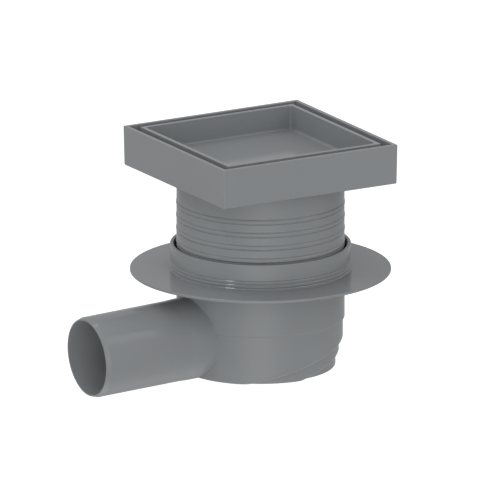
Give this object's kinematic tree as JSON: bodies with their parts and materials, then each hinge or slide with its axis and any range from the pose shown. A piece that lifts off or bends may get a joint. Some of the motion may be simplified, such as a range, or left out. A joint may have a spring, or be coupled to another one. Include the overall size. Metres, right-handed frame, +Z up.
{
  "type": "gully trap",
  "caption": "Floor gully with a sealing flange, a falling side outlet, a removable water trap, a riser that turns and slides in a lip seal, and a square frame with a loose tile tray.",
  "frame": {"origin": "centre of the gully body's round base", "axes": "+Z up along the riser, the outlet runs towards -X"},
  "size_m": [0.2035, 0.16, 0.1495],
  "materials": {
    "grey_plastic": "mid-grey moulded plastic, satin",
    "black_rubber": "black, matt"
  },
  "bodies": {
    "gully": {"gully_body": "grey_plastic", "trap_funnel": "grey_plastic", "trap_o_ring": "black_rubber", "trap_cup": "grey_plastic"},
    "seal": {"lip_seal": "black_rubber"},
    "top": {"top_frame": "grey_plastic", "tile_tray": "grey_plastic"}
  },
  "joints": [
    {"name": "riser_turn", "type": "hinge", "parent": "gully", "child": "seal", "pos_m": [0, 0, 0.0714], "axis": [0, 0, 1], "continuous": true},
    {"name": "riser_height", "type": "slide", "parent": "seal", "child": "top", "axis": [0, 0, 1], "range_m": [0, 0.009]}
  ]
}
